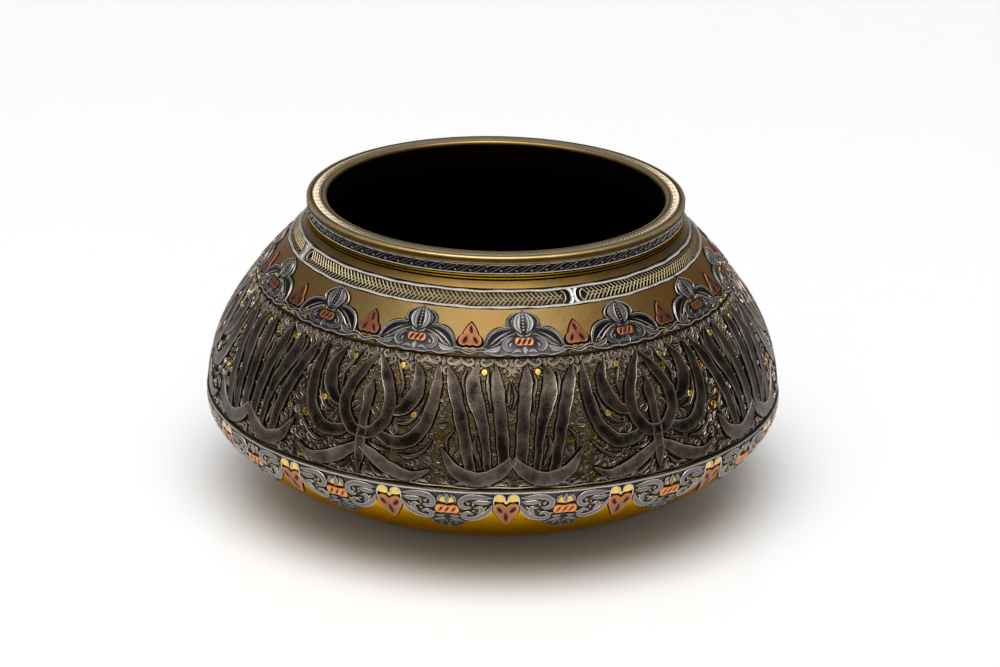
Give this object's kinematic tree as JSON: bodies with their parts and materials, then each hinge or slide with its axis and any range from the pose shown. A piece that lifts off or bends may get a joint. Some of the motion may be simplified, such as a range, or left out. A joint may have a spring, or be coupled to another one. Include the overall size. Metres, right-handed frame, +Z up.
{
  "type": "inlaid brass bowl",
  "caption": "Wide-bellied brass bowl with a heavy moulded mouth ring, silver friezes and arabesques, and copper leaves and hearts, standing on a flat base.",
  "frame": {"origin": "centre of the flat base, on the surface that the bowl stands on", "axes": "+Z up along the bowl's axis, -Y towards the front as pictured, +X to the right"},
  "size_m": [0.2662, 0.2662, 0.1415],
  "materials": {
    "brass_body": "hammered and polished, with brown tarnish in the recesses",
    "brass_ring": "turned, worn bright on the edges",
    "brass_lattice": "engraved and darkened",
    "silver_sheet": "tarnished silver sheet with bright edges",
    "silver_dark": "heavily tarnished silver sheet with bright edges",
    "silver_wire": "bright silver wire",
    "copper_sheet": "engraved copper sheet"
  },
  "bodies": {
    "root": {"bowl_body": "brass_body", "rim_ring": "brass_ring", "lip_inlay": "silver_sheet", "collar_braid": "silver_dark", "shoulder_wire_upper": "silver_wire", "shoulder_wire_lower": "silver_wire", "shoulder_panel_1": "brass_lattice", "shoulder_panel_2": "brass_lattice", "shoulder_panel_3": "brass_lattice", "shoulder_panel_4": "brass_lattice", "shoulder_separator_1": "silver_wire", "shoulder_separator_2": "silver_wire", "shoulder_separator_3": "silver_wire", "shoulder_separator_4": "silver_wire", "upper_silver_frieze": "silver_sheet", "lower_silver_frieze": "silver_sheet", "upper_copper_leaf_01": "copper_sheet", "upper_copper_leaf_02": "copper_sheet", "upper_copper_leaf_03": "copper_sheet", "upper_copper_leaf_04": "copper_sheet", "upper_copper_leaf_05": "copper_sheet", "upper_copper_leaf_06": "copper_sheet", "upper_copper_leaf_07": "copper_sheet", "upper_copper_leaf_08": "copper_sheet", "upper_copper_leaf_09": "copper_sheet", "upper_copper_leaf_10": "copper_sheet", "upper_copper_leaf_11": "copper_sheet", "upper_copper_leaf_12": "copper_sheet", "upper_copper_leaf_13": "copper_sheet", "upper_copper_leaf_14": "copper_sheet", "lower_copper_heart_01": "copper_sheet", "lower_copper_heart_02": "copper_sheet", "lower_copper_heart_03": "copper_sheet", "lower_copper_heart_04": "copper_sheet", "lower_copper_heart_05": "copper_sheet", "lower_copper_heart_06": "copper_sheet", "lower_copper_heart_07": "copper_sheet", "lower_copper_heart_08": "copper_sheet", "lower_copper_heart_09": "copper_sheet", "lower_copper_heart_10": "copper_sheet", "lower_copper_heart_11": "copper_sheet", "lower_copper_heart_12": "copper_sheet", "lower_copper_heart_13": "copper_sheet", "lower_copper_heart_14": "copper_sheet", "lower_copper_heart_15": "copper_sheet", "lower_copper_heart_16": "copper_sheet", "lancet_arabesque_01": "silver_dark", "drop_arabesque_02": "silver_dark", "lancet_arabesque_03": "silver_dark", "drop_arabesque_04": "silver_dark", "lancet_arabesque_05": "silver_dark", "drop_arabesque_06": "silver_dark", "lancet_arabesque_07": "silver_dark", "drop_arabesque_08": "silver_dark", "lancet_arabesque_09": "silver_dark", "drop_arabesque_10": "silver_dark", "lancet_arabesque_11": "silver_dark", "drop_arabesque_12": "silver_dark"}
  },
  "joints": []
}
